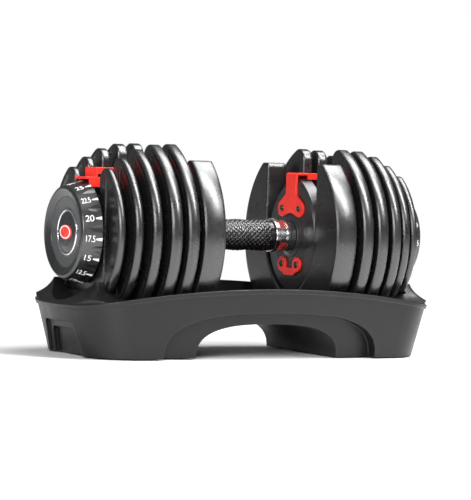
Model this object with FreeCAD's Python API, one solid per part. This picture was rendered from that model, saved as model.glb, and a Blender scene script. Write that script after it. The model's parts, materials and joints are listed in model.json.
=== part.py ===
"""Adjustable dumbbell resting in its base tray.

Millimetres. X runs along the handle, Y across it and Z up. The origin is the
middle of the tray's footprint on the floor. Every side part is built for the
+X end and mirrored for the -X end.
"""
import math
import os

import FreeCAD
import Part

V = FreeCAD.Vector
os.makedirs("parts", exist_ok=True)

# ---------------------------------------------------------------- dimensions
AXIS_Z = 127.0            # handle axis above the floor
SETTING_STEP = 24.0       # degrees between two dial settings
REST_SETTING = 9          # setting shown by the pointer at rest

# weight plates from the outer end inwards:
# inner face X, thickness, outline radius, top above axis, bottom below axis
PLATES = [
    (170.5, 7.5, 82.0, 90.0, 64.0),
    (154.5, 8.5, 91.0, 99.0, 73.0),
    (137.0, 10.0, 99.0, 105.0, 81.0),
    (116.5, 12.0, 103.6, 110.0, 85.0),
    (97.5, 12.0, 104.5, 110.0, 85.0),
    (66.0, 24.0, 102.0, 78.0, 85.0),
]
# plates lifted at each of the settings, by place in PLATES counted from 1
SETTINGS = [
    (), (1,), (3,), (1, 3), (5,), (1, 5), (3, 5), (1, 6), (3, 6),
    (5, 6), (3, 5, 6), (4, 5, 6), (3, 4, 5, 6), (2, 3, 4, 5, 6), (1, 2, 3, 4, 5, 6),
]
SLOT_HALF = 30.0          # half width of the slot in plates 1 to 5
HORN_ROUND = 12.5         # rounding of the two horns beside the slot
PLATE_ROUND = 2.0         # rounding of both rims
PLATE_CROWN = 1.3         # bulge of the outer rim across a plate's thickness
BAND_HALF = 46.0          # half width of the raised band on each outer face
LUG = (8.0, 36.0, 41.0)   # lug width, inner and outer distance below the axis

DISC_RIM = (42.0, 45.0)   # inner and outer radius of a disc's hooks
DISC_WEB = 1.8
HUB_R = 13.0
SHAFT_R = 9.0
TIE_R = 6.0
SHAFT_BORE = 6.06

DIAL_BACK = 182.0
DIAL_FACE = 204.0
DIAL_BACK_R = 53.5
DIAL_FACE_R = 47.5
DIAL_SEAT = 4.5           # depth of the hollow behind the dial
SCALLOP_R = 9.0

FLANGE_IN = 68.0
FLANGE_OUT = 84.0
FLANGE_HALF = 52.0
FLANGE_TOP = 60.0
FLANGE_BOTTOM = 61.0
BRACKET_T = 2.4
SCREW_TOP = (18.0, 29.0)
SCREW_LOW = (16.0, -31.0)
RAIL_Z = 65.5             # underside of the bridge's rail above the axis
POINTER_Z = 55.4          # underside of its pointer, just over the dial
RAIL_HALF = 13.0
ARM_HALF = 10.2           # half width of the bridge's upright arm
LOBE_R = 9.0              # lobes round the bridge's two screws

PIN_X = 79.3
PIN_FOOT = 63.0           # foot of the lock pin below the axis
NOTCH_RIM = (20.0, 24.0)
NOTCHES = 15

GRIP_HALF = 40.0
GRIP_R = 16.0
TUBE_R = 12.0

TRAY_HALF_X = 218.0
TRAY_HALF_Y = 99.0
TRAY_FOOT_X = 198.0       # half length where the tray meets the floor
TRAY_FOOT_Y = 92.0
OUTLINE_R = (1400.0, 250.0, 50.0)   # radii of the tray's sides, ends and corners
TRAY_BOTTOM = 1.2
RIM_END = 52.0
RIM_MID = 74.0
WALL = 3.5
FLOOR = (36.0, 39.5)
BULKHEAD = 180.0          # inner face of the end blocks
TUNNEL = (84.0, 36.5)     # half width and height of the inner portal
ARCH = (126.0, 49.0)      # half width and height of the arch in the wall
ARCH_DEPTH = 14.0
SCOOP_R = 70.0
RACK_STEP = 147.6         # where the comb narrows to pass between the saddle's shoulders
RACK_HALF = 46.0


# ------------------------------------------------------------------- helpers
def box(x0, x1, y0, y1, z0, z1):
    return Part.makeBox(x1 - x0, y1 - y0, z1 - z0, V(x0, y0, z0))


def rod(radius, x0, x1, y=0.0, z=0.0):
    """Cylinder along X; y and z are measured from the handle axis."""
    return Part.makeCylinder(radius, x1 - x0, V(x0, y, AXIS_Z + z), V(1, 0, 0))


def tube(inner, outer, x0, x1):
    return rod(outer, x0, x1).cut(rod(inner, x0 - 1, x1 + 1))


def upright(radius, x, y, z0, z1):
    return Part.makeCylinder(radius, z1 - z0, V(x, y, z0), V(0, 0, 1))


def turned(points):
    """Solid of revolution about the handle axis from (x, radius) points."""
    ring = [V(x, 0, AXIS_Z + r) for x, r in points]
    face = Part.Face(Part.makePolygon(ring + ring[:1]))
    return face.revolve(V(0, 0, AXIS_Z), V(1, 0, 0), 360)


def slab(points, x0, x1):
    """Polygon of (y, z above axis) points, extruded from x0 to x1."""
    ring = [V(x0, y, AXIS_Z + z) for y, z in points]
    return Part.Face(Part.makePolygon(ring + ring[:1])).extrude(V(x1 - x0, 0, 0))


def fused(shapes):
    first, rest = shapes[0], shapes[1:]
    return first.multiFuse(rest).removeSplitter() if rest else first


def edges_along_x(shape, test):
    found = []
    for edge in shape.Edges:
        a, b = edge.Vertexes[0].Point, edge.Vertexes[-1].Point
        if abs(a.y - b.y) < 1e-4 and abs(a.z - b.z) < 1e-4 and abs(a.x - b.x) > 1.0:
            if test(a.y, a.z - AXIS_Z):
                found.append(edge)
    return found


def face_edges(shape, x):
    """Edges lying in the plane at x."""
    found = []
    for edge in shape.Edges:
        bounds = edge.BoundBox
        if abs(bounds.XMin - x) < 1e-4 and abs(bounds.XMax - x) < 1e-4:
            found.append(edge)
    return found


def barrel_wire(half_x, half_y, z, inset=0.0):
    """Tray outline at height z: tangent arcs for sides, ends and corners."""
    side_r, end_r, corner_r = OUTLINE_R
    ay, bx = half_y - side_r, half_x - end_r
    ra, rb = side_r - corner_r, end_r - corner_r
    apart = math.hypot(bx, ay)
    along = (ra * ra - rb * rb + apart * apart) / (2 * apart)
    off = math.sqrt(ra * ra - along * along)
    ux, uy = bx / apart, -ay / apart
    cx, cy = along * ux + off * uy, ay + along * uy - off * ux

    def out(ox, oy, radius):
        d = math.hypot(cx - ox, cy - oy)
        r = radius - inset
        return ox + (cx - ox) / d * r, oy + (cy - oy) / d * r
    side, end = out(0, ay, side_r), out(bx, 0, end_r)
    mx, my = (side[0] + end[0]) / 2 - cx, (side[1] + end[1]) / 2 - cy
    k = (corner_r - inset) / math.hypot(mx, my)
    mid = (cx + mx * k, cy + my * k)
    quarter = [(half_x - inset, 0.0), end, mid, side, (0.0, half_y - inset)]
    p = list(quarter)
    p += [(-x, y) for x, y in reversed(quarter[:-1])]
    p += [(-x, -y) for x, y in quarter[1:]]
    p += [(x, -y) for x, y in reversed(quarter[:-1])]
    p = [V(x, y, z) for x, y in p]
    starts = (1, 3, 5, 7, 9, 11, 13, 15)
    edges = [Part.Arc(p[i], p[i + 1], p[(i + 2) % 16]).toShape() for i in starts]
    return Part.Wire(edges)


def barrel(inset, z0, z1):
    """Tapered tray volume, its sides set in by a wall thickness."""
    def half(z):
        t = z / RIM_MID
        x = TRAY_FOOT_X + (TRAY_HALF_X - TRAY_FOOT_X) * t
        y = TRAY_FOOT_Y + (TRAY_HALF_Y - TRAY_FOOT_Y) * t
        return x, y
    low = barrel_wire(*half(z0), z0, inset)
    high = barrel_wire(*half(z1), z1, inset)
    return Part.makeLoft([low, high], True, True)


def plate_x(number):
    inner, thick = PLATES[number - 1][:2]
    return inner, inner + thick


# -------------------------------------------------------------------- plates
def almond_wire(grow, x0):
    """Leaf-shaped outline about the axis, grown outwards by a clearance."""
    half = FLANGE_HALF + grow
    top, low = FLANGE_TOP + grow, -FLANGE_BOTTOM - grow
    tip = 12.0 + grow
    p = [V(x0, y, AXIS_Z + z) for y, z in (
        (-tip, top), (tip, top), (half - 9, 29.0), (half, -4.0),
        (half - 12, -38.0), (tip, low), (-tip, low),
        (12 - half, -38.0), (-half, -4.0), (9 - half, 29.0))]
    edges = [
        Part.LineSegment(p[0], p[1]).toShape(),
        Part.Arc(p[1], p[2], p[3]).toShape(),
        Part.Arc(p[3], p[4], p[5]).toShape(),
        Part.LineSegment(p[5], p[6]).toShape(),
        Part.Arc(p[6], p[7], p[8]).toShape(),
        Part.Arc(p[8], p[9], p[0]).toShape(),
    ]
    return Part.Wire(edges)


def almond(grow, x0, x1):
    return Part.Face(almond_wire(grow, x0)).extrude(V(x1 - x0, 0, 0))


def plate_slot(x0, x1):
    return rod(SLOT_HALF, x0, x1).fuse(
        box(x0, x1, -SLOT_HALF, SLOT_HALF, AXIS_Z, AXIS_Z + 130))


def crowned_disc(radius, x0, x1):
    """Disc whose rim bulges a little across its thickness."""
    low = radius - PLATE_CROWN
    near, far = V(x0, 0, AXIS_Z), V(x1, 0, AXIS_Z)
    start, end = V(x0, 0, AXIS_Z + low), V(x1, 0, AXIS_Z + low)
    peak = V((x0 + x1) / 2, 0, AXIS_Z + radius)
    profile = Part.Wire([
        Part.LineSegment(near, start).toShape(),
        Part.Arc(start, peak, end).toShape(),
        Part.LineSegment(end, far).toShape(),
        Part.LineSegment(far, near).toShape(),
    ])
    return Part.Face(profile).revolve(V(0, 0, AXIS_Z), V(1, 0, 0), 360)


def plate_blank(x0, x1, radius, top, bottom, wide):
    blank = rod(radius, x0, x1)
    blank = blank.common(box(x0, x1, -130, 130, AXIS_Z - bottom, AXIS_Z + top))
    if wide:
        half = FLANGE_HALF + 1.2
        cutter = box(x0 - 1, x1 + 1, -half, half, AXIS_Z + 34, AXIS_Z + 130)
        blank = blank.cut(cutter)
    else:
        blank = blank.cut(plate_slot(x0 - 1, x1 + 1))
    horn = edges_along_x(blank, lambda y, z: z > 60)
    blank = blank.makeFillet(4.5 if wide else HORN_ROUND, horn)
    corner = edges_along_x(blank, lambda y, z: z < 2 - bottom)
    blank = blank.makeFillet(14.0, corner)
    rims = face_edges(blank, x0) + face_edges(blank, x1)
    blank = blank.makeFillet(PLATE_ROUND, rims)
    return blank.common(crowned_disc(radius, x0, x1))


def crescents(x1, radius, bottom):
    """Shallow side recesses in a plate's outer face."""
    deep = 1.2
    disc = rod(radius - 8.0, x1 - deep, x1 + 1)
    disc = disc.common(box(x1 - deep, x1 + 1, -130, 130, AXIS_Z + 9 - bottom, AXIS_Z + 130))
    return disc.cut(box(x1 - deep - 1, x1 + 2, -BAND_HALF, BAND_HALF, 0, 300))


def hook_lug(number, x1):
    """Small ledge below the axis that a selector disc lifts by."""
    width, near, far = LUG
    reach = disc_plan(number)["web"][0] - 0.5
    return box(x1 - 1, reach, -width / 2, width / 2, AXIS_Z - far, AXIS_Z - near)


def make_plate(number):
    _, _, radius, top, bottom = PLATES[number - 1]
    x0, x1 = plate_x(number)
    wide = number == 6
    plate = plate_blank(x0, x1, radius, top, bottom, wide)
    plate = plate.cut(crescents(x1, radius, bottom))
    if wide:
        plate = plate.cut(plate_slot(x0 - 1, x1 + 1))
        room = almond(1.2, x0 - 1, FLANGE_OUT + 1)
        half = FLANGE_HALF + 1.2
        room = room.fuse(box(x0 - 1, FLANGE_OUT + 1, -half, half, AXIS_Z - 4, AXIS_Z + 130))
        plate = plate.cut(room)
        post_way = box(x0 - 1, FLANGE_OUT + 1, -6.5, 6.5, 0, AXIS_Z - 50)
        plate = plate.cut(post_way)
    return plate.fuse(hook_lug(number, x1)).removeSplitter()


# --------------------------------------------------------------------- discs
def disc_plan(number):
    """Where a disc's web and hooks lie along X, outboard of its plate."""
    face = plate_x(number)[1]
    if number == 1:
        web = (DIAL_BACK + 1.2, DIAL_BACK + 1.2 + DISC_WEB)
    else:
        end = plate_x(number - 1)[0] - 0.8
        web = (end - DISC_WEB, end)
    return {"web": web, "hook": (face + 0.7, web[0] + 0.1)}


def setting_angle(index):
    """Turn about +X, from straight up, of a setting's place at rest."""
    return -(index - REST_SETTING) * SETTING_STEP


def sector(r0, r1, x0, x1, start, sweep):
    """Part of a ring about the axis; angles from straight up, about +X."""
    face = Part.Face(Part.makePolygon([
        V(x0, 0, r0), V(x1, 0, r0), V(x1, 0, r1), V(x0, 0, r1), V(x0, 0, r0)]))
    piece = face.revolve(V(0, 0, 0), V(1, 0, 0), sweep)
    piece.rotate(V(0, 0, 0), V(1, 0, 0), start)
    piece.translate(V(0, 0, AXIS_Z))
    return piece


def hook_spans(number):
    """Runs of neighbouring settings that lift one plate, as angle spans."""
    picked = [i for i, group in enumerate(SETTINGS) if number in group]
    runs = []
    for i in picked:
        if runs and runs[-1][1] == i - 1:
            runs[-1][1] = i
        else:
            runs.append([i, i])
    half = SETTING_STEP / 2 - 1.5
    return [(setting_angle(b) - half + 180, setting_angle(a) + half + 180) for a, b in runs]


def make_disc(number):
    plan = disc_plan(number)
    w0, w1 = plan["web"]
    if number == 6:
        start = FLANGE_OUT + 0.6
    else:
        start = disc_plan(number + 1)["web"][1] + 0.1
    parts = [rod(HUB_R, start, w1), rod(DISC_RIM[1] - 6.0, w0, w1)]
    for a, b in hook_spans(number):
        parts.append(sector(DISC_RIM[0], DISC_RIM[1], plan["hook"][0], w1, a, b - a))
        parts.append(sector(DISC_RIM[1] - 8.0, DISC_RIM[1], w0, w1, a, b - a))
    disc = fused(parts)
    holes = []
    for i in range(6):
        a = math.radians(60 * i + 30)
        holes.append(rod(6.5, w0 - 2, w1 + 2, 25 * math.sin(a), 25 * math.cos(a)))
    return disc.cut(Part.makeCompound(holes)).cut(rod(SHAFT_R + 0.02, start - 1, w1 + 1))


def make_shaft():
    """Hollow shaft with the notched wheel the lock pin drops into."""
    x_in = 72.0
    body = rod(SHAFT_R, x_in, DIAL_FACE - 8)
    wheel = rod(NOTCH_RIM[1], x_in, x_in + 1.6)
    lip = tube(NOTCH_RIM[0], NOTCH_RIM[1], x_in, x_in + 4.8)
    shaft = fused([body, wheel, lip])
    cuts = []
    for i in range(NOTCHES):
        cut = box(x_in + 1.6, x_in + 6, -2.3, 2.3, -26.0, -18.0)
        cut.rotate(V(0, 0, 0), V(1, 0, 0), i * SETTING_STEP)
        cut.translate(V(0, 0, AXIS_Z))
        cuts.append(cut)
    shaft = shaft.cut(Part.makeCompound(cuts))
    return shaft.cut(rod(SHAFT_BORE, x_in - 1, DIAL_FACE))


# ---------------------------------------------------------------------- dial
def make_dial():
    b, f = DIAL_BACK, DIAL_FACE
    body = turned([
        (b + DIAL_SEAT, SHAFT_R + 0.02), (b + DIAL_SEAT, 47.5), (b, 47.5),
        (b, DIAL_BACK_R - 1.0), (b + 1.0, DIAL_BACK_R),
        (f - 1.6, DIAL_FACE_R + 0.4), (f, DIAL_FACE_R - 1.6), (f, 44.6),
        (f - 1.0, 43.6), (f - 3.6, 37.2), (f - 3.6, 36.1), (f - 6.0, 36.1),
        (f - 7.4, 24.4), (f - 8.4, 24.4), (f - 8.4, SHAFT_R + 0.02)])
    return body.cut(Part.makeCompound(dial_scallops()))


def dial_scallops():
    """Shallow hollows between the numbers, running out towards the face."""
    slope = math.radians(10.0)
    reach = DIAL_BACK_R - 1.3 + SCALLOP_R
    cutters = []
    for i in range(NOTCHES):
        start = V(DIAL_BACK - 2.0, 0, reach + 3.0 * math.tan(slope))
        cutter = Part.makeCylinder(SCALLOP_R, 30, start, V(math.cos(slope), 0, -math.sin(slope)))
        cutter.rotate(V(0, 0, 0), V(1, 0, 0), (i + 0.5) * SETTING_STEP)
        cutter.translate(V(0, 0, AXIS_Z))
        cutters.append(cutter)
    return cutters


def make_dial_ring():
    """Pale dished ring seated in the dial face."""
    f = DIAL_FACE
    return turned([
        (f - 5.98, 36.0), (f - 3.9, 36.0), (f - 4.2, 35.0),
        (f - 5.4, 25.6), (f - 5.2, 24.5), (f - 7.36, 24.5)])


def make_dial_trim():
    f = DIAL_FACE
    return turned([
        (f - 8.3, 21.6), (f - 5.0, 21.6), (f - 4.3, 22.2),
        (f - 4.3, 23.5), (f - 5.0, 24.3), (f - 8.3, 24.3)])


def make_cap():
    """Domed centre cap with a hollow back over the tie rod's nut."""
    f = DIAL_FACE
    return turned([
        (f - 8.3, 15.0), (f - 8.3, 21.4), (f - 5.2, 21.4), (f - 4.6, 20.6),
        (f - 4.0, 15.0), (f - 3.6, 8.0), (f - 3.5, 0.0), (f - 5.0, 0.0), (f - 5.0, 15.0)])


# -------------------------------------------------------------------- handle
def make_flange():
    bevel = 2.8
    step = FLANGE_IN + bevel
    front = Part.makeLoft([almond_wire(-bevel, FLANGE_IN), almond_wire(0.0, step)], True, True)
    flange = front.fuse(almond(0.0, step, FLANGE_OUT))
    x = FLANGE_IN
    boss = turned([(x - 2.0, 0), (x - 2.0, 18.5), (x - 1.4, 19.0), (x - 1.4, 20.6), (x - 0.8, 21.2),
                   (x - 0.8, 22.4), (x, 23.2), (x + 1, 23.2), (x + 1, 0)])
    flange = flange.fuse(boss)
    for radius in (26.2, 30.2, 34.2):
        groove = turned([(x - 1, radius - 1.4), (x - 1, radius + 1.4), (x, radius + 0.8),
                         (x + 0.8, radius), (x, radius - 0.8)])
        flange = flange.cut(groove)
    flange = flange.cut(rod(TIE_R + 0.05, FLANGE_IN - 3, FLANGE_OUT + 1))
    flange = flange.cut(rod(NOTCH_RIM[1] + 0.8, 71.6, FLANGE_OUT + 1))
    low = AXIS_Z - FLANGE_BOTTOM - 2
    flange = flange.cut(upright(2.35, PIN_X, 0, AXIS_Z - 32, AXIS_Z - 20))
    flange = flange.cut(upright(3.75, PIN_X, 0, low, AXIS_Z - 31))
    for y, z in screw_places():
        flange = flange.cut(rod(2.0, FLANGE_IN - 1, FLANGE_IN + 9, y, z))
    return flange.removeSplitter()


def screw_places():
    (ty, tz), (ly, lz) = SCREW_TOP, SCREW_LOW
    return [(-ty, tz), (ty, tz), (-ly, lz), (ly, lz)]


def make_bridge():
    """Red Y-shaped arm, folded over the flange into a rail with a pointer."""
    x1 = FLANGE_IN
    x0 = x1 - BRACKET_T
    ty, tz = SCREW_TOP
    top = RAIL_Z + BRACKET_T
    half, neck = RAIL_HALF, ARM_HALF
    outline = [(neck + 1, top), (neck, 54), (neck + 1, 44), (ty + 6.8, tz + 6.2), (ty + LOBE_R, tz),
               (ty, tz - LOBE_R), (12.8, 21.3), (8.4, 23.2), (0, 24.8)]
    outline += [(-y, z) for y, z in reversed(outline[:-1])]
    arm = slab(outline, x0, x1)
    lobes = [rod(LOBE_R, x0, x1, side * ty, tz) for side in (-1, 1)]
    step, end = plate_x(1)[0] + 1.0, DIAL_BACK + 3.0
    rail = box(x0, step + BRACKET_T, -half, half, AXIS_Z + RAIL_Z, AXIS_Z + top)
    for y0, y1 in ((neck + 1, half + 1), (-half - 1, -neck - 1)):
        rail = rail.cut(box(x0 - 1, x0 + 9, y0, y1, 0, 300))
    drop = box(step, step + BRACKET_T, -half, half, AXIS_Z + POINTER_Z, AXIS_Z + top)
    low = POINTER_Z + BRACKET_T
    tongue = box(step, end, -half, half, AXIS_Z + POINTER_Z, AXIS_Z + low)
    cheeks = []
    for side in (-1, 1):
        y0, y1 = sorted((side * half, side * (half - BRACKET_T)))
        cheeks.append(box(x0 + 14, step + BRACKET_T, y0, y1, AXIS_Z + RAIL_Z - 4.5, AXIS_Z + top))
        cheeks.append(box(step - 8, DIAL_BACK - 1.2, y0, y1, AXIS_Z + 47.5, AXIS_Z + low))
    tip = Part.Face(Part.makePolygon([
        V(end - 0.5, -half, AXIS_Z + low), V(end + 6.5, 0, AXIS_Z + low),
        V(end - 0.5, half, AXIS_Z + low),
        V(end - 0.5, -half, AXIS_Z + low)])).extrude(V(0, 0, -BRACKET_T))
    bridge = fused([arm] + lobes + [rail, drop, tongue, tip] + cheeks)
    fold = [e for e in face_edges(bridge, x0) if e.BoundBox.ZMin > AXIS_Z + top - 0.01]
    bridge = bridge.makeFillet(3.4, fold)
    return bridge.cut(Part.makeCompound(
        [rod(2.3, x0 - 1, x1 + 1, side * ty, tz) for side in (-1, 1)]))


def make_bracket():
    """Red lower bracket: two lobes joined under the lock pin's housing."""
    x1 = FLANGE_IN
    x0 = x1 - BRACKET_T
    ly, lz = SCREW_LOW
    link = slab([(-ly - 5, lz - 5), (-9, lz - 12), (9, lz - 12), (ly + 5, lz - 5),
                 (ly - 3, lz + 2), (7, lz - 4), (-7, lz - 4), (3 - ly, lz + 2)], x0, x1)
    lobes = [rod(8.2, x0, x1, side * ly, lz) for side in (-1, 1)]
    bracket = fused([link] + lobes)
    return bracket.cut(Part.makeCompound(
        [rod(2.3, x0 - 1, x1 + 1, side * ly, lz) for side in (-1, 1)]))


def make_bracket_screw(y, z):
    x0 = FLANGE_IN - BRACKET_T
    head = turned([(x0 - 1.6, 0), (x0 - 1.6, 2.2), (x0 - 0.9, 3.4), (x0, 3.4), (x0, 1.95),
                   (FLANGE_IN + 8, 1.95), (FLANGE_IN + 8, 0)])
    head.translate(V(0, y, z))
    socket = rod(1.3, x0 - 2, x0 + 0.6, y, z)
    return head.cut(socket)


def make_lock_pin():
    """Plunger with a tooth that drops into the notched wheel."""
    foot, top = AXIS_Z - PIN_FOOT, AXIS_Z - 15.4
    stem = upright(2.2, PIN_X, 0, foot + 10, top)
    collar = upright(3.5, PIN_X, 0, foot, AXIS_Z - 46)
    tooth = box(74.3, PIN_X, -1.9, 1.9, AXIS_Z - 19.3, top)
    return fused([stem, collar, tooth])


def make_lock_spring():
    low, high = AXIS_Z - 45.5, AXIS_Z - 31.6
    helix = Part.makeHelix(2.1, high - low, 3.0)
    helix.translate(V(PIN_X, 0, low))
    start = helix.Edges[0].valueAt(helix.Edges[0].FirstParameter)
    ring = Part.Wire([Part.Circle(start, V(0, 1, 0.11), 0.34).toShape()])
    return Part.Wire(helix.Edges).makePipeShell([ring], True, True)


def make_hub():
    """Ribbed hub between the collar and the flange."""
    x0, x1 = 57.0, FLANGE_IN - 2.0
    points = [(x0, TUBE_R + 0.02), (x0, 14.6)]
    x = x0 + 0.8
    while x < x1 - 1.8:
        points += [(x, 16.8), (x + 1.1, 16.8), (x + 1.1, 15.4), (x + 1.8, 15.4)]
        x += 1.8
    points += [(x, 18.4), (x1, 18.4), (x1, TUBE_R + 0.02)]
    return turned(points)


def make_collar():
    bore = TUBE_R + 0.02
    return turned([
        (GRIP_HALF + 0.2, bore), (GRIP_HALF + 0.2, 17.6), (GRIP_HALF + 1.0, 18.3),
        (GRIP_HALF + 5.0, 18.3), (GRIP_HALF + 5.8, 17.5), (GRIP_HALF + 5.8, 16.2),
        (GRIP_HALF + 14.0, 15.4), (GRIP_HALF + 14.8, 16.4), (GRIP_HALF + 16.8, 16.4),
        (GRIP_HALF + 16.8, bore)])


def make_grip():
    """Rubber sleeve, a little fuller at its middle and ends."""
    upper = []
    steps = 20
    for i in range(steps + 1):
        x = -GRIP_HALF + 2 * GRIP_HALF * i / steps
        t = abs(x) / GRIP_HALF
        radius = GRIP_R + 0.7 * math.cos(math.pi * t * 1.5) ** 2 + 0.9 * t ** 6
        upper.append(V(x, 0, AXIS_Z + radius))
    curve = Part.BSplineCurve()
    curve.interpolate(upper)
    bore = TUBE_R + 0.02
    a, b = V(-GRIP_HALF, 0, AXIS_Z + bore), V(GRIP_HALF, 0, AXIS_Z + bore)
    wire = Part.Wire([
        curve.toShape(),
        Part.LineSegment(upper[-1], b).toShape(),
        Part.LineSegment(b, a).toShape(),
        Part.LineSegment(a, upper[0]).toShape()])
    return Part.Face(wire).revolve(V(0, 0, AXIS_Z), V(1, 0, 0), 360)


def make_handle_tube():
    end = FLANGE_IN - 2.0
    return tube(TIE_R + 0.05, TUBE_R, -end, end)


def make_tie_rod():
    end = DIAL_FACE - 5.4
    return rod(TIE_R, -end, end)


def make_tie_nut():
    x0 = DIAL_FACE - 7.7
    ring = [V(x0, 9.4 * math.sin(a), AXIS_Z + 9.4 * math.cos(a))
            for a in [math.radians(60 * i) for i in range(6)]]
    nut = Part.Face(Part.makePolygon(ring + ring[:1])).extrude(V(2.4, 0, 0))
    return nut.cut(rod(TIE_R, x0 - 1, x0 + 4))


# ---------------------------------------------------------------------- tray
def arch_wire(half, height, y):
    """Arch standing on the floor plane, drawn across X at one Y."""
    points = []
    for i in range(25):
        a = math.pi * i / 24
        c, s = math.cos(a), math.sin(a)
        x = half * math.copysign(abs(c) ** 0.72, c)
        points.append(V(x, y, height * s ** 0.72))
    curve = Part.BSplineCurve()
    curve.interpolate(points)
    closing = Part.LineSegment(points[-1], points[0]).toShape()
    return Part.Wire([curve.toShape(), closing])


def arch_recess(grow):
    """Wide arched recess in both side walls, following their curve."""
    wire = arch_wire(ARCH[0] + grow, ARCH[1] + grow, -TRAY_HALF_Y - 10)
    prism = Part.Face(wire).extrude(V(0, 2 * TRAY_HALF_Y + 20, 0))
    return prism.cut(barrel(ARCH_DEPTH + grow, -5.0, RIM_MID))


def tunnel(grow):
    wire = arch_wire(TUNNEL[0] + grow, TUNNEL[1] + grow, -TRAY_HALF_Y)
    return Part.Face(wire).extrude(V(0, 2 * TRAY_HALF_Y, 0))


def end_recess(grow, side):
    """Two-step hand recess in an end wall, square to its slope."""
    lean = math.degrees(math.atan2(TRAY_HALF_X - TRAY_FOOT_X, RIM_MID))
    steps = []
    for low, high, tall, deep in ((45, 33, 37, 5.5), (37, 26, 28, 10.0)):
        ring = [V(-deep - grow, y, z) for y, z in (
            (-low - grow, -12), (low + grow, -12), (high + grow, tall + grow),
            (-high - grow, tall + grow))]
        piece = Part.Face(Part.makePolygon(ring + ring[:1])).extrude(V(40, 0, 0))
        piece = piece.makeFillet(7.0, edges_low_high(piece, tall + grow))
        piece.rotate(V(0, 0, 0), V(0, 1, 0), lean)
        piece.translate(V(TRAY_FOOT_X, 0, 0))
        steps.append(piece if side > 0 else mirrored(piece))
    return steps


def edges_low_high(shape, height):
    found = []
    for edge in shape.Edges:
        bounds = edge.BoundBox
        if bounds.XLength > 30 and abs(bounds.ZMax - height) < 1e-3 and bounds.YLength < 1e-3:
            found.append(edge)
    return found


def mirrored(shape):
    return shape.mirror(V(0, 0, 0), V(1, 0, 0))


def above_rim():
    """Everything above the tray's gently arched rim."""
    a = V(-TRAY_HALF_X - 20, -150, RIM_END - 3.0)
    m = V(0, -150, RIM_MID)
    b = V(TRAY_HALF_X + 20, -150, RIM_END - 3.0)
    up = V(0, 0, 120)
    edges = [
        Part.Arc(a, m, b).toShape(),
        Part.LineSegment(b, b + up).toShape(),
        Part.LineSegment(b + up, a + up).toShape(),
        Part.LineSegment(a + up, a).toShape(),
    ]
    return Part.Face(Part.Wire(edges)).extrude(V(0, 300, 0))


def rounded_section(x0, x1, half_y, z, corner):
    """Rounded rectangle lying at height z."""
    c = corner
    k = c * (1 - math.sqrt(0.5))
    p = [V(x0 + c, -half_y, z), V(x1 - c, -half_y, z), V(x1 - k, k - half_y, z),
         V(x1, c - half_y, z), V(x1, half_y - c, z), V(x1 - k, half_y - k, z),
         V(x1 - c, half_y, z), V(x0 + c, half_y, z), V(x0 + k, half_y - k, z),
         V(x0, half_y - c, z), V(x0, c - half_y, z), V(x0 + k, k - half_y, z)]
    edges = []
    for i in range(4):
        a, b, m, e = [p[(3 * i + j) % 12] for j in range(4)]
        edges.append(Part.LineSegment(a, b).toShape())
        edges.append(Part.Arc(b, m, e).toShape())
    return Part.Wire(edges)


def saddle():
    """Flared block at the +X end with a scoop for the dial."""
    sections = [
        rounded_section(136, 220, 98, 46, 18),
        rounded_section(150, 209, 88, 55.5, 14),
        rounded_section(163, 202, 69, 62, 10),
        rounded_section(173, 195, 58, 69, 7),
        rounded_section(177.5, 189, 53.5, 78, 4),
    ]
    block = Part.makeLoft(sections, True, False)
    block = block.common(barrel(0.6, 44.0, RIM_MID + 6))
    block = block.cut(rod(SCOOP_R, BULKHEAD - 0.5, 230))
    block = block.cut(box(100, RACK_STEP + 0.4, -150, 150, 0, 200))
    block = block.cut(box(100, BULKHEAD, -RACK_HALF - 0.4, RACK_HALF + 0.4, 0, 200))
    for number in range(1, 5):
        x0, x1 = plate_x(number)
        block = block.cut(rod(PLATES[number - 1][2] + 1.5, 100, x1 + 1.5))
    return block


def feet_places():
    return [(sx * 150.0, sy * 44.0) for sx in (-1, 1) for sy in (-1, 1)]


def rack_screw_places():
    return [(sx * 112.9, sy * 30.0) for sx in (-1, 1) for sy in (-1, 1)]


def tray_hollows():
    """Upper well and the open undersides at both ends."""
    well = barrel(WALL, FLOOR[1], RIM_MID + 8).common(box(-BULKHEAD, BULKHEAD, -150, 150, 0, 200))
    under = barrel(WALL, 0.0, 48.0)
    ends = []
    for side in (-1, 1):
        a, b = sorted((side * (TUNNEL[0] + WALL), side * 230))
        ends.append(under.common(box(a, b, -150, 150, -1, FLOOR[0])))
        a, b = sorted((side * (BULKHEAD + WALL), side * 230))
        ends.append(under.common(box(a, b, -150, 150, -1, 48)))
    return [well] + ends


def make_tray():
    body = barrel(0.0, TRAY_BOTTOM, RIM_MID + 6)
    bead = barrel(-1.7, RIM_END - 18, RIM_MID + 6)
    over = above_rim()
    lower = over.copy()
    lower.translate(V(0, 0, -4.6))
    bead = bead.common(lower)
    body = body.fuse(bead).cut(over)
    keep = [arch_recess(WALL), tunnel(WALL)] + end_recess(WALL, 1) + end_recess(WALL, -1)
    for hollow in tray_hollows():
        for wall in keep:
            hollow = hollow.cut(wall)
        body = body.cut(hollow)
    right = saddle()
    body = body.fuse(right).fuse(mirrored(right))
    for cutter in [arch_recess(0.0), tunnel(0.0)] + end_recess(0.0, 1) + end_recess(0.0, -1):
        body = body.cut(cutter)
    extras = [upright(11.0, x, y, TRAY_BOTTOM, FLOOR[0] + 1) for x, y in feet_places()]
    extras += [upright(5.0, side * PIN_X, 0, FLOOR[0] + 1, AXIS_Z - PIN_FOOT - 0.25)
               for side in (-1, 1)]
    for extra in extras:
        body = body.fuse(extra)
    for x, y in feet_places():
        body = body.cut(upright(9.0, x, y, 0, TRAY_BOTTOM + 1.5))
    for x, y in rack_screw_places():
        body = body.cut(upright(2.2, x, y, 20, 60))
    return body.removeSplitter()


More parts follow.
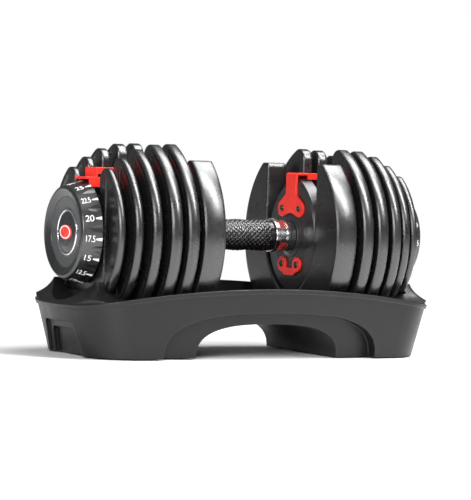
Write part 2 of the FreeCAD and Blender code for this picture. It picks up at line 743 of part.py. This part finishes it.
def make_rack():
    """Comb that holds one end's plates upright."""
    x0, x1 = 63.0, BULKHEAD - 0.4
    inside = barrel(WALL + 0.5, FLOOR[1], 66.0)
    low = inside.common(box(x0, RACK_STEP, -150, 150, FLOOR[1], 57))
    high = inside.common(box(RACK_STEP, x1, -RACK_HALF, RACK_HALF, FLOOR[1], 69))
    rack = low.fuse(high)
    for number in range(1, 7):
        a, b = plate_x(number)
        radius, bottom = PLATES[number - 1][2], PLATES[number - 1][4]
        room = rod(radius + 0.8, a - 0.7, b + 0.7)
        room = room.common(box(a - 1, b + 1, -130, 130, AXIS_Z - bottom - 0.25, 200))
        rack = rack.cut(room)
    for keep in (arch_recess(WALL + 0.4), tunnel(WALL)):
        rack = rack.cut(keep)
    rack = rack.cut(upright(6.0, PIN_X, 0, 0, 90))
    for x, y in rack_screw_places():
        if x > 0:
            rack = rack.cut(upright(1.95, x, y, 0, 52))
    return rack.removeSplitter()


def make_tray_foot(x, y):
    return upright(9.0, x, y, 0, TRAY_BOTTOM + 1.5)


def make_rack_screw(x, y):
    head = Part.makeCone(2.0, 4.2, 2.4, V(x, y, FLOOR[0]), V(0, 0, -1))
    return head.fuse(upright(1.95, x, y, FLOOR[0] - 0.5, 51)).removeSplitter()


# -------------------------------------------------------------------- export
def save(name, shape):
    shape.exportStep(os.path.join("parts", name + ".step"))


def save_pair(name, shape):
    save("right_" + name, shape)
    save("left_" + name, mirrored(shape))


def main():
    save("tray", make_tray())
    save("tray_feet", Part.makeCompound([make_tray_foot(x, y) for x, y in feet_places()]))
    save("rack_screws", Part.makeCompound([make_rack_screw(x, y) for x, y in rack_screw_places()]))
    save("grip", make_grip())
    save("handle_tube", make_handle_tube())
    save("tie_rod", make_tie_rod())
    nut = make_tie_nut()
    save("tie_nuts", Part.makeCompound([nut, mirrored(nut)]))
    screws = [make_bracket_screw(y, z) for y, z in screw_places()]
    save("bracket_screws", Part.makeCompound(screws + [mirrored(s) for s in screws]))
    for number in range(1, 7):
        save_pair("plate_%d" % number, make_plate(number))
        save_pair("disc_%d" % number, make_disc(number))
    pairs = {
        "shaft": make_shaft, "dial": make_dial, "dial_ring": make_dial_ring,
        "dial_trim": make_dial_trim, "cap": make_cap, "flange": make_flange,
        "bridge": make_bridge, "bracket": make_bracket, "lock_pin": make_lock_pin,
        "lock_spring": make_lock_spring, "hub": make_hub, "collar": make_collar,
        "rack": make_rack,
    }
    for name, maker in pairs.items():
        save_pair(name, maker())


main()
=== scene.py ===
import json
import math

import bmesh
import bpy
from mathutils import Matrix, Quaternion, Vector


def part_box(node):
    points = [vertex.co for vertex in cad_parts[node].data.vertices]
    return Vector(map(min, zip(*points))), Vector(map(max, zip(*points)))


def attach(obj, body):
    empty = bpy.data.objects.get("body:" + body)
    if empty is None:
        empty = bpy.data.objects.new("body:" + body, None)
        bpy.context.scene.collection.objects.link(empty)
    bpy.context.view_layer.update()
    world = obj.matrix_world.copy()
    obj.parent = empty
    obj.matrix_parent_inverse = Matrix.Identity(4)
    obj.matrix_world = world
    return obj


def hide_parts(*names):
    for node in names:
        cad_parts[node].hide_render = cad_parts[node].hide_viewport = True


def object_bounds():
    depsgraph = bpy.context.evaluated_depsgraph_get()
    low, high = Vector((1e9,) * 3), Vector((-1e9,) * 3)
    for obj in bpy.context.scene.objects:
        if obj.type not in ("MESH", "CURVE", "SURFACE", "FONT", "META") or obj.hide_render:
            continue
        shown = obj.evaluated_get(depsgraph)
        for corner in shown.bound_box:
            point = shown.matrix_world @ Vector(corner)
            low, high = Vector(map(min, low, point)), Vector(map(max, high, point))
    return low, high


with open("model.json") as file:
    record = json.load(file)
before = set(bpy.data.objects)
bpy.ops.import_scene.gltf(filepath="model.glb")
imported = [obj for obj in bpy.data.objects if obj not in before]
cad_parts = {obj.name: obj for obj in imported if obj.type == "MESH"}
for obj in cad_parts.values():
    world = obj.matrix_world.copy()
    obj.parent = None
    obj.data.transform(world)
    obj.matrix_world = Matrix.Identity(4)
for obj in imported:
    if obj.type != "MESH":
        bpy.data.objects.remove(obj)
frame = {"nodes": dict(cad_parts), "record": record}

CAD_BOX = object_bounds()
NODES = frame["nodes"]
SIDES = {"left": -1, "right": 1}


def mm(value):
    return value * 0.001


# ------------------------------------------------------------ driving sizes
ring_low, ring_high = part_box("right_dial_ring")
dial_low, dial_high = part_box("right_dial")
AXIS_Z = (ring_low[2] + ring_high[2]) / 2
DIAL_BACK, DIAL_FACE = dial_low[0], dial_high[0]
DIAL_BACK_R = dial_high[2] - AXIS_Z
DIAL_TAPER = mm(5.6)             # how much the rim narrows towards its face
DIAL_FACE_R = DIAL_BACK_R - DIAL_TAPER
RIM_START, RIM_END = DIAL_BACK + mm(1.0), DIAL_FACE - mm(1.6)
SETTINGS = ["5", "7.5", "10", "12.5", "15", "17.5", "20", "22.5", "25",
            "30", "35", "40", "45", "50", "52.5"]
REST_SETTING = 9
SETTING_STEP = math.radians(24)

FIGURE_SIZE = mm(9.4)            # height setting of the printed numbers
FIGURE_WIDTH = mm(9.2)           # widest a number may be along the rim
FIGURE_CENTRE = DIAL_BACK + mm(13.4)
INK_THICK = mm(0.12)
TICK_NEAR, TICK_FAR = DIAL_BACK + mm(1.4), DIAL_BACK + mm(7.4)
TICK_WIDE, TICK_NARROW = mm(1.7), mm(0.75)   # half widths of the wedge
TICK_SUNK, TICK_PROUD = mm(-0.06), mm(0.18)

BADGE_SQUASH = 0.54              # height of the oval badge over its width
SHAPE_SEGMENTS = 96

GRIP_DIAMONDS = 18               # diamonds round the sleeve
GRIP_ALONG, GRIP_AROUND = 300, 260
GRIP_CORE_R, GRIP_BORE_R, GRIP_OUTER_R = mm(15.55), mm(12.05), mm(16)
GRIP_SWELL = mm(0.7)             # swell of the middle and of the two ends
GRIP_RAISE = mm(0.7)             # height of a diamond
GRIP_BAND, GRIP_BAND_FADE = mm(5.0), mm(1.2)
GRIP_BAND_RAISE = mm(0.45)
GRIP_END_ROUND, GRIP_END_DROP = mm(1.2), mm(1.0)

CAMERA_AZIMUTH, CAMERA_ELEVATION = math.radians(-28.5), math.radians(2.0)
CAMERA_ROLL = math.radians(1.8)
CAMERA_DISTANCE, CAMERA_LENS = 2.8, 200
LIGHT_AIM_Z = 0.12
FLOOR_R, FLOOR_SINK = 1.35, 0.0002
WORLD_SOFT = 0.2                 # how strongly the backdrop lights the object


# ---------------------------------------------------------------- materials
class Surface:
    """A node material built up in steps; every length is in metres."""

    def __init__(self, name):
        self.mat = bpy.data.materials.new(name)
        self.mat.use_nodes = True
        self.tree = self.mat.node_tree
        self.shader = self.tree.nodes["Principled BSDF"]
        self.coords = self.node("ShaderNodeTexCoord").outputs["Object"]
        self.rounded = None

    def node(self, kind, **settings):
        made = self.tree.nodes.new(kind)
        for key, value in settings.items():
            setattr(made, key, value)
        return made

    def link(self, a, b):
        self.tree.links.new(a, b)

    def put(self, socket, value):
        if isinstance(value, bpy.types.NodeSocket):
            self.link(value, socket)
        elif isinstance(value, (tuple, list)) and len(value) == 3 and socket.type == "RGBA":
            socket.default_value = (*value, 1)
        else:
            socket.default_value = value

    def maths(self, operation, a, b=0.0, clamp=False):
        made = self.node("ShaderNodeMath", operation=operation, use_clamp=clamp)
        self.put(made.inputs[0], a)
        self.put(made.inputs[1], b)
        return made.outputs[0]

    def stretched(self, scale):
        made = self.node("ShaderNodeMapping")
        self.link(self.coords, made.inputs["Vector"])
        made.inputs["Scale"].default_value = scale
        return made.outputs[0]

    def noise(self, scale, detail=3.0, rough=0.55, coords=None):
        made = self.node("ShaderNodeTexNoise")
        self.link(coords or self.coords, made.inputs["Vector"])
        made.inputs["Scale"].default_value = scale
        made.inputs["Detail"].default_value = detail
        made.inputs["Roughness"].default_value = rough
        return made.outputs["Fac"]

    def cells(self, scale):
        made = self.node("ShaderNodeTexVoronoi", feature="F1")
        self.link(self.coords, made.inputs["Vector"])
        made.inputs["Scale"].default_value = scale
        return made.outputs["Distance"]

    def ramp(self, value, low, high, start=0.0, end=1.0):
        made = self.node("ShaderNodeMapRange")
        self.put(made.inputs["Value"], value)
        made.inputs["From Min"].default_value = low
        made.inputs["From Max"].default_value = high
        made.inputs["To Min"].default_value = start
        made.inputs["To Max"].default_value = end
        return made.outputs["Result"]

    def mix(self, factor, a, b):
        made = self.node("ShaderNodeMix", data_type="RGBA")
        self.put(made.inputs[0], factor)
        self.put(made.inputs[6], a)
        self.put(made.inputs[7], b)
        return made.outputs[2]

    def soften(self, radius):
        """Shade corners as if rounded to the radius."""
        made = self.node("ShaderNodeBevel", samples=8)
        made.inputs["Radius"].default_value = radius
        self.rounded = made.outputs[0]
        return made.outputs[0]

    def edges(self, radius):
        """Bright where the surface turns a corner tighter than the radius."""
        rounded = self.soften(radius)
        true = self.node("ShaderNodeNewGeometry").outputs["Normal"]
        dot = self.node("ShaderNodeVectorMath", operation="DOT_PRODUCT")
        self.link(rounded, dot.inputs[0])
        self.link(true, dot.inputs[1])
        turned = self.maths("SUBTRACT", 1.0, dot.outputs["Value"])
        return self.ramp(turned, 0.01, 0.16)

    def upward(self):
        """Bright where the surface faces up, for settled dust."""
        split = self.node("ShaderNodeSeparateXYZ")
        self.link(self.node("ShaderNodeNewGeometry").outputs["Normal"], split.inputs[0])
        return self.ramp(split.outputs["Z"], 0.35, 1.0)

    def bump(self, layers):
        """Stack of (height, depth) layers, coarse first, over softened edges."""
        last = self.rounded
        for height, depth in layers:
            made = self.node("ShaderNodeBump")
            made.inputs["Distance"].default_value = depth
            made.inputs["Strength"].default_value = 1.0
            self.link(height, made.inputs["Height"])
            if last:
                self.link(last, made.inputs["Normal"])
            last = made.outputs["Normal"]
        self.link(last, self.shader.inputs["Normal"])

    def finish(self, colour, rough, metal=0.0, **more):
        self.put(self.shader.inputs["Base Color"], colour)
        self.put(self.shader.inputs["Roughness"], rough)
        self.put(self.shader.inputs["Metallic"], metal)
        for key, value in more.items():
            self.shader.inputs[key.replace("_", " ")].default_value = value
        return self.mat


def tone(colour, factor):
    return tuple(c * factor for c in colour)


DUST = (0.42, 0.4, 0.37)


def coated(name, base, rough, grain=1400, depth=0.00002, edge_wear_and_highlight=0.35,
           worn=(0.16, 0.16, 0.16), dust=0.05, edge=0.0011, **more):
    """Satin coat or moulded plastic: fine pebbled grain, mottling, and lighter edges that are
    partly rubbed wear and partly a painted edge highlight.
    """
    s = Surface(name)
    cloud = s.noise(14, 4)
    fine = s.noise(grain, 2)
    blotch = s.noise(90, 5, 0.65)
    colour = s.mix(s.ramp(cloud, 0.3, 0.7), tone(base, 0.82), tone(base, 1.2))
    colour = s.mix(s.ramp(fine, 0.35, 0.75, 0.0, 0.35), colour, tone(base, 1.7))
    patches = s.ramp(s.noise(160, 5, 0.7), 0.42, 0.62, 0.25, 1.0)
    # Lighter edge band: partly real rubbed wear, partly a painted edge highlight.
    edge_patches = s.maths("MULTIPLY", s.edges(edge), patches)
    colour = s.mix(s.maths("MULTIPLY", edge_patches, edge_wear_and_highlight), colour, worn)
    settled = s.maths("MULTIPLY", s.upward(), s.ramp(blotch, 0.4, 0.8))
    colour = s.mix(s.maths("MULTIPLY", settled, dust), colour, DUST)
    roughness = s.ramp(blotch, 0.25, 0.75, rough - 0.06, rough + 0.08)
    roughness = s.maths("SUBTRACT", roughness, s.maths("MULTIPLY", edge_patches, 0.1))
    s.bump([(cloud, depth * 6), (fine, depth * 2.2), (s.cells(grain * 0.7), depth)])
    return s.finish(colour, roughness, **more)


def scratched_coat(name, base, rough, crown):
    """Plate coating with faint crossing hairlines, lighter edges that are partly rubbed wear and
    partly a painted edge highlight, and rims shaded as crowned.
    """
    s = Surface(name)
    cloud = s.noise(9, 4)
    fine = s.noise(1500, 2)
    blotch = s.noise(70, 5, 0.65)
    hair_a = s.ramp(s.noise(1.0, 2, 0.5, s.stretched((900, 40, 1600))), 0.67, 0.74)
    hair_b = s.ramp(s.noise(1.0, 2, 0.5, s.stretched((60, 1700, 110))), 0.69, 0.76)
    crossing = s.maths("ADD", hair_a, hair_b, True)
    hair = s.maths("MULTIPLY", crossing, s.ramp(blotch, 0.45, 0.7))
    colour = s.mix(s.ramp(cloud, 0.3, 0.7), tone(base, 0.85), tone(base, 1.18))
    colour = s.mix(s.ramp(fine, 0.4, 0.8, 0.0, 0.3), colour, tone(base, 1.8))
    colour = s.mix(s.maths("MULTIPLY", hair, 0.1), colour, (0.1, 0.1, 0.1))
    patches = s.ramp(s.noise(130, 5, 0.7), 0.4, 0.6, 0.35, 1.0)
    # Lighter rim edges: partly real rubbed wear, partly a painted edge highlight.
    edge_patches = s.maths("MULTIPLY", s.edges(0.0014), patches)
    colour = s.mix(s.maths("MULTIPLY", edge_patches, 0.5), colour, (0.15, 0.15, 0.155))
    roughness = s.ramp(blotch, 0.25, 0.75, rough - 0.05, rough + 0.08)
    s.soften(crown)
    s.bump([(cloud, 0.00012), (fine, 0.00003), (hair, 0.000002)])
    return s.finish(colour, roughness, Specular_IOR_Level=1.0)


def turned_metal(name, base, rough, metal=1.0, ring=4200):
    """Metal with fine lathe rings about the X axis and light smudges."""
    s = Surface(name)
    rings = s.noise(1.0, 2, 0.6, s.stretched((ring, 30, 30)))
    smudge = s.noise(120, 5, 0.6)
    colour = s.mix(s.ramp(smudge, 0.35, 0.7), tone(base, 0.86), base)
    colour = s.mix(s.maths("MULTIPLY", s.edges(0.0005), 0.35), colour, tone(base, 1.15))
    roughness = s.ramp(smudge, 0.3, 0.7, rough, rough + 0.12)
    s.bump([(rings, 0.00002), (s.noise(700, 3), 0.00001)])
    return s.finish(colour, roughness, metal)


def powder_coat(name, base, rough=0.34):
    """Glossy paint over steel: orange peel, chips at the edges."""
    s = Surface(name)
    peel = s.noise(650, 2)
    cloud = s.noise(40, 4)
    colour = s.mix(s.ramp(cloud, 0.3, 0.7), tone(base, 0.86), tone(base, 1.06))
    edge_patches = s.maths("MULTIPLY", s.edges(0.0009), s.ramp(s.noise(240, 6, 0.75), 0.5, 0.6))
    colour = s.mix(s.maths("MULTIPLY", edge_patches, 0.5), colour, (0.35, 0.1, 0.08))
    roughness = s.ramp(s.noise(130, 5), 0.3, 0.7, rough - 0.05, rough + 0.1)
    s.bump([(peel, 0.00007), (s.noise(2200, 2), 0.000012)])
    return s.finish(colour, roughness, Coat_Weight=0.1, Coat_Roughness=0.2, Specular_IOR_Level=0.35)


def grip_rubber(name):
    """Black moulded rubber with a fine skin and a slight shine."""
    s = Surface(name)
    base = (0.006, 0.006, 0.0068)
    skin = s.noise(1800, 3, 0.7)
    cloud = s.noise(60, 5, 0.6)
    colour = s.mix(s.ramp(cloud, 0.35, 0.7), tone(base, 0.8), tone(base, 1.5))
    edge_patches = s.maths("MULTIPLY", s.edges(0.0005), s.ramp(s.noise(300, 4), 0.4, 0.65))
    colour = s.mix(s.maths("MULTIPLY", edge_patches, 0.4), colour, (0.1, 0.1, 0.105))
    roughness = s.ramp(cloud, 0.3, 0.7, 0.12, 0.24)
    s.bump([(skin, 0.00003)])
    return s.finish(colour, roughness, Specular_IOR_Level=0.6)


def printed(name, base):
    """Screen-printed ink: even colour, worn thin in places."""
    s = Surface(name)
    thin = s.noise(900, 4, 0.7)
    colour = s.mix(s.ramp(thin, 0.55, 0.8, 0.0, 0.4), base, tone(base, 0.55))
    s.bump([(s.noise(2500, 2), 0.00001)])
    return s.finish(colour, s.ramp(thin, 0.3, 0.7, 0.4, 0.55))


def pale_floor(name):
    """Plain light grey paper, almost even."""
    s = Surface(name)
    cloud = s.noise(3, 3)
    colour = s.mix(s.ramp(cloud, 0.3, 0.7), (0.86, 0.86, 0.86), (0.9, 0.9, 0.9))
    return s.finish(colour, s.ramp(s.noise(60, 4), 0.3, 0.7, 0.5, 0.6))


# In coated() the sixth and seventh values set the strength and colour of the lighter edge band,
# which is partly real edge wear and partly a painted edge highlight.
FINISHES = {
    "plate_black": scratched_coat("plate_coat", (0.006, 0.0061, 0.0066), 0.28, 0.0045),
    "tray_plastic": coated("tray_plastic", (0.0055, 0.0056, 0.006), 0.38, 1100, 0.00003, 0.35,
                           (0.07, 0.07, 0.07), 0.004, 0.0018, Specular_IOR_Level=0.36),
    "rack_plastic": coated("rack_plastic", (0.01, 0.01, 0.011), 0.55, 900, 0.00003, 0.2,
                           (0.05, 0.05, 0.05), 0.01),
    "rubber_feet": coated("rubber_feet", (0.02, 0.02, 0.02), 0.75, 1500, 0.00004, 0.2),
    "zinc_steel": turned_metal("zinc_steel", (0.6, 0.6, 0.58), 0.32),
    "black_steel": coated("black_screws", (0.012, 0.012, 0.013), 0.3, 1600, 0.00001, 0.8,
                          (0.3, 0.3, 0.3), 0.0, Metallic=0.4),
    "bar_steel": turned_metal("bar_steel", (0.55, 0.56, 0.57), 0.28),
    "dial_plastic": coated("dial_plastic", (0.009, 0.0096, 0.0096), 0.3, 1500, 0.00001, 0.5,
                           (0.07, 0.07, 0.07), 0.0, Specular_IOR_Level=1.0),
    "ring_silver": coated("ring_silver", (0.1, 0.103, 0.108), 0.3, 1800, 0.00001, 0.5,
                          (0.4, 0.4, 0.4), 0.0, Metallic=0.5),
    "trim_chrome": turned_metal("trim_chrome", (0.9, 0.9, 0.91), 0.12),
    "cap_plastic": coated("cap_plastic", (0.018, 0.018, 0.02), 0.22, 1700, 0.00001, 0.4,
                          (0.1, 0.1, 0.1), 0.0, Specular_IOR_Level=0.8),
    "flange_plastic": coated("flange_plastic", (0.008, 0.0082, 0.009), 0.34, 1200, 0.00002, 0.9,
                             (0.12, 0.12, 0.12), 0.0, 0.0015, Specular_IOR_Level=0.8),
    "red_steel": powder_coat("red_steel", (0.88, 0.032, 0.02)),
    "pin_red": powder_coat("pin_red", (0.35, 0.012, 0.01)),
    "spring_steel": turned_metal("spring_steel", (0.6, 0.6, 0.6), 0.25),
    "hub_plastic": coated("hub_plastic", (0.02, 0.0205, 0.022), 0.3, 1400, 0.00002, 0.5,
                          (0.12, 0.12, 0.12), 0.0, Specular_IOR_Level=0.8),
    "collar_chrome": turned_metal("collar_chrome", (0.85, 0.85, 0.86), 0.13),
    "disc_plastic": coated("disc_plastic", (0.012, 0.012, 0.013), 0.45, 1100, 0.00002, 0.2,
                           (0.06, 0.06, 0.06), 0.0),
    "grip_rubber": grip_rubber("grip_rubber"),
}
WHITE_INK = printed("white_ink", (0.82, 0.82, 0.8))
BADGE_RED = powder_coat("badge_red", (0.8, 0.05, 0.035), 0.25)

for entry in frame["record"]["subparts"]:
    node = NODES[entry["node"]]
    for place in node.material_slots:
        place.material = FINISHES[entry["material_slot"]]


# ------------------------------------------------------------------- pieces
def new_piece(name, mesh, material, body):
    piece = bpy.data.objects.new(name, mesh)
    bpy.context.scene.collection.objects.link(piece)
    mesh.materials.append(material)
    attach(piece, body)
    return piece


def solid_mesh(name, verts, faces):
    """Mesh from vertices and faces, with its normals facing outwards."""
    mesh = bpy.data.meshes.new(name)
    mesh.from_pydata(verts, [], faces)
    work = bmesh.new()
    work.from_mesh(mesh)
    bmesh.ops.recalc_face_normals(work, faces=work.faces)
    work.to_mesh(mesh)
    work.free()
    return mesh


def loop_faces(low, high, count):
    """Quads between two rings of vertices that start at low and at high."""
    faces = []
    for i in range(count):
        j = (i + 1) % count
        faces.append((low + i, low + j, high + j, high + i))
    return faces


def rim_radius(x):
    """Radius of the dial's conical rim at distance x from the middle."""
    t = (abs(x) - RIM_START) / (RIM_END - RIM_START)
    return DIAL_BACK_R + (DIAL_FACE_R - DIAL_BACK_R) * t


def on_rim(side, x, turn, lift):
    """Point on the dial's rim; turn is about +X from straight up."""
    radius = rim_radius(x) + lift
    return Vector((side * x, -math.sin(turn) * radius, AXIS_Z + math.cos(turn) * radius))


def text_mesh(body, size):
    """Flat outline of some figures as (vertices, faces) centred on their middle."""
    curve = bpy.data.curves.new("figures", "FONT")
    curve.body = body
    curve.size = size
    curve.align_x = "CENTER"
    curve.align_y = "CENTER"
    curve.resolution_u = 5
    curve.extrude = INK_THICK
    curve.space_character = 0.95
    holder = bpy.data.objects.new("figures", curve)
    bpy.context.scene.collection.objects.link(holder)
    bpy.context.view_layer.update()
    evaluated = holder.evaluated_get(bpy.context.evaluated_depsgraph_get())
    mesh = bpy.data.meshes.new_from_object(evaluated)
    points = [v.co.copy() for v in mesh.vertices]
    faces = [list(p.vertices) for p in mesh.polygons]
    bpy.data.objects.remove(holder)
    bpy.data.curves.remove(curve)
    bpy.data.meshes.remove(mesh)
    return points, faces


def tick(side, turn, start):
    """Wedge-shaped tick between the dial's edge and its number."""
    verts = []
    for lift in (TICK_SUNK, TICK_PROUD):
        for x, half in ((TICK_NEAR, TICK_WIDE), (TICK_FAR, TICK_NARROW)):
            verts.append(on_rim(side, x, turn - half / DIAL_BACK_R, lift))
            verts.append(on_rim(side, x, turn + half / DIAL_BACK_R, lift))
    quads = ((0, 1, 3, 2), (4, 6, 7, 5), (0, 4, 5, 1),
             (2, 3, 7, 6), (0, 2, 6, 4), (1, 5, 7, 3))
    return verts, [[start + i for i in quad] for quad in quads]


def dial_figures(name, side):
    """White numbers and wedge-shaped ticks on one dial's rim, read across it."""
    verts, faces = [], []
    for index, label in enumerate(SETTINGS):
        turn = -(index - REST_SETTING) * SETTING_STEP
        points, polygons = text_mesh(label, FIGURE_SIZE)
        width = max(p.x for p in points) - min(p.x for p in points)
        squeeze = min(1.0, FIGURE_WIDTH / width)
        start = len(verts)
        for p in points:
            x = FIGURE_CENTRE + side * p.x * squeeze
            round_rim = turn - p.y / rim_radius(FIGURE_CENTRE)
            verts.append(on_rim(side, x, round_rim, mm(0.06) + p.z))
        faces += [[start + i for i in polygon] for polygon in polygons]
        tick_verts, tick_faces = tick(side, turn, len(verts))
        verts += tick_verts
        faces += tick_faces
    mesh = solid_mesh(name, verts, faces)
    group = "%s_dial_group" % name.split("_")[0]
    return new_piece(name, mesh, WHITE_INK, group)


def turned_mesh(name, side, rings, squash=1.0, capped=True):
    """Surface of revolution from (x, radius) rings; squash flattens it in Z."""
    verts, faces = [], []
    for x, radius in rings:
        for i in range(SHAPE_SEGMENTS):
            a = 2 * math.pi * i / SHAPE_SEGMENTS
            up = radius * math.cos(a) * squash
            verts.append(Vector((side * x, radius * math.sin(a), AXIS_Z + up)))
    for r in range(len(rings) - 1):
        faces += loop_faces(r * SHAPE_SEGMENTS, (r + 1) * SHAPE_SEGMENTS, SHAPE_SEGMENTS)
    last = (len(rings) - 1) * SHAPE_SEGMENTS
    if capped:
        faces.append(tuple(range(SHAPE_SEGMENTS)))
        faces.append(tuple(last + i for i in range(SHAPE_SEGMENTS)))
    else:
        faces += loop_faces(last, 0, SHAPE_SEGMENTS)
    mesh = solid_mesh(name, verts, faces)
    for polygon in mesh.polygons:
        polygon.use_smooth = len(polygon.vertices) == 4
    return mesh


def badge(name, side):
    """Plain oval badge on the centre cap, with a pale printed ring."""
    cap_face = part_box("right_cap")[1][0]
    group = "%s_dial_group" % name.split("_")[0]
    oval = [(-1.2, 14.3), (0.1, 14.3), (0.4, 13.8), (0.7, 12.4), (0.85, 8.0), (0.9, 3.0)]
    rings = [(cap_face + mm(out), mm(radius)) for out, radius in oval]
    mesh = turned_mesh(name, side, rings, BADGE_SQUASH)
    new_piece(name, mesh, BADGE_RED, group)
    band = [(0.3, 12.7), (0.78, 12.7), (0.92, 11.9), (0.92, 11.4), (0.84, 10.6), (0.3, 10.6)]
    rings = [(cap_face + mm(out), mm(radius)) for out, radius in band]
    mesh = turned_mesh(name + "_ring", side, rings, BADGE_SQUASH, capped=False)
    new_piece(name + "_ring", mesh, WHITE_INK, group)


def sleeve_profile(x, half):
    """Smooth radius, band factor and end drop of the sleeve at x."""
    t = abs(x) / half
    left = half - abs(x)
    core = GRIP_CORE_R + GRIP_SWELL * math.cos(math.pi * t * 1.5) ** 2 + GRIP_SWELL * t ** 6
    band = min(1.0, max(0.0, (left - GRIP_BAND) / GRIP_BAND_FADE))
    end = math.sqrt(max(0.0, 1 - max(0.0, 1 - left / GRIP_END_ROUND) ** 2))
    return core + GRIP_BAND_RAISE * (1 - band) - GRIP_END_DROP * (1 - end), band


def diamond(u, v):
    """Height from 0 to 1 of the raised diamonds; u and v count whole ones."""
    ridge = abs(math.sin(math.pi * (u + v))) * abs(math.sin(math.pi * (u - v)))
    return min(1.0, ridge * 1.6) ** 1.4


def grip_sleeve():
    """Rubber sleeve with raised diamonds and two plain end bands."""
    low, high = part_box("grip")
    half = (high[0] - low[0]) / 2
    cad_r = (high[2] - low[2]) / 2
    pitch = 2 * math.pi * GRIP_OUTER_R / GRIP_DIAMONDS
    turns = [2 * math.pi * j / GRIP_AROUND for j in range(GRIP_AROUND)]
    verts, faces = [], []
    for i in range(GRIP_ALONG + 1):
        x = -half + 2 * half * i / GRIP_ALONG
        smooth_r, band = sleeve_profile(x, half)
        for a in turns:
            u = a * GRIP_DIAMONDS / (2 * math.pi)
            radius = min(smooth_r + GRIP_RAISE * diamond(u, x / pitch) * band, cad_r)
            verts.append((x, radius * math.sin(a), AXIS_Z + radius * math.cos(a)))
    for i in range(GRIP_ALONG):
        faces += loop_faces(i * GRIP_AROUND, (i + 1) * GRIP_AROUND, GRIP_AROUND)
    for ring, x in ((0, -half), (GRIP_ALONG, half)):
        start = len(verts)
        verts += [(x, GRIP_BORE_R * math.sin(a), AXIS_Z + GRIP_BORE_R * math.cos(a))
                  for a in turns]
        faces += loop_faces(ring * GRIP_AROUND, start, GRIP_AROUND)
    mesh = solid_mesh("grip_sleeve", verts, faces)
    for polygon in mesh.polygons:
        polygon.use_smooth = True
    piece = new_piece("grip_sleeve", mesh, FINISHES["grip_rubber"], "handle")
    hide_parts("grip")


grip_sleeve()
for side_name, side in SIDES.items():
    dial_figures(side_name + "_dial_figures", side)
    badge(side_name + "_cap_badge", side)


# -------------------------------------------------------------------- stage
def add_floor():
    steps = 96
    turns = [2 * math.pi * i / steps for i in range(steps)]
    ring = [(FLOOR_R * math.cos(a), FLOOR_R * math.sin(a), 0) for a in turns]
    mesh = bpy.data.meshes.new("floor")
    mesh.from_pydata(ring, [], [tuple(range(steps))])
    mesh.materials.append(pale_floor("pale_floor"))
    floor = bpy.data.objects.new("floor", mesh)
    floor.location.z = -FLOOR_SINK
    bpy.context.scene.collection.objects.link(floor)


def add_area(name, place, aim_x, size, power):
    """Soft rectangular light aimed at a point over the middle of the floor."""
    light = bpy.data.lights.new(name, "AREA")
    light.shape = "RECTANGLE"
    light.size, light.size_y = size
    light.energy = power
    aim = (aim_x, 0, LIGHT_AIM_Z)
    holder = bpy.data.objects.new(name, light)
    holder.location = place
    holder.rotation_euler = (Vector(aim) - Vector(place)).to_track_quat("-Z", "Y").to_euler()
    bpy.context.scene.collection.objects.link(holder)


def add_sun(direction, strength, spread):
    """Broad soft sun from a direction; spread in degrees."""
    light = bpy.data.lights.new("sun", "SUN")
    light.energy = strength
    light.angle = math.radians(spread)
    holder = bpy.data.objects.new("sun", light)
    holder.rotation_euler = Vector(direction).to_track_quat("Z", "Y").to_euler()
    bpy.context.scene.collection.objects.link(holder)


def add_world():
    """White backdrop that lights the object only softly."""
    world = bpy.data.worlds.new("studio")
    world.use_nodes = True
    tree = world.node_tree
    backdrop = tree.nodes["Background"]
    backdrop.inputs["Color"].default_value = (1, 1, 1, 1)
    backdrop.inputs["Strength"].default_value = 1.0
    soft = tree.nodes.new("ShaderNodeBackground")
    soft.inputs["Color"].default_value = (0.97, 0.98, 1, 1)
    soft.inputs["Strength"].default_value = WORLD_SOFT
    seen = tree.nodes.new("ShaderNodeLightPath")
    choose = tree.nodes.new("ShaderNodeMixShader")
    tree.links.new(seen.outputs["Is Camera Ray"], choose.inputs[0])
    tree.links.new(soft.outputs[0], choose.inputs[1])
    tree.links.new(backdrop.outputs[0], choose.inputs[2])
    tree.links.new(choose.outputs[0], tree.nodes["World Output"].inputs["Surface"])
    bpy.context.scene.world = world


def add_camera():
    """Camera to the left of square-on, a little above, with a slight roll."""
    low, high = CAD_BOX
    middle = (Vector(low) + Vector(high)) / 2
    towards = Vector((math.sin(CAMERA_AZIMUTH) * math.cos(CAMERA_ELEVATION),
                      -math.cos(CAMERA_AZIMUTH) * math.cos(CAMERA_ELEVATION),
                      math.sin(CAMERA_ELEVATION)))
    place = middle + towards * CAMERA_DISTANCE
    camera = bpy.data.cameras.new("camera")
    camera.sensor_fit = "HORIZONTAL"
    camera.lens = CAMERA_LENS
    camera.clip_end = 50
    holder = bpy.data.objects.new("camera", camera)
    holder.location = place
    aim = (middle - place).to_track_quat("-Z", "Y")
    holder.rotation_euler = (aim @ Quaternion((0, 0, 1), CAMERA_ROLL)).to_euler()
    bpy.context.scene.collection.objects.link(holder)
    bpy.context.scene.camera = holder


add_floor()
add_world()
add_sun((0.35, -0.30, 0.89), 1.2, 40)
add_area("front_strip", (0.95, -1.25, 1.8), -0.08, (0.32, 1.8), 66)
add_area("left_box", (-1.5, -1.9, 0.95), 0.1, (0.9, 1.0), 62)
add_area("top", (0.8, 0.1, 1.85), 0, (0.8, 1.3), 34)
add_camera()
bpy.context.scene.view_settings.view_transform = "Standard"
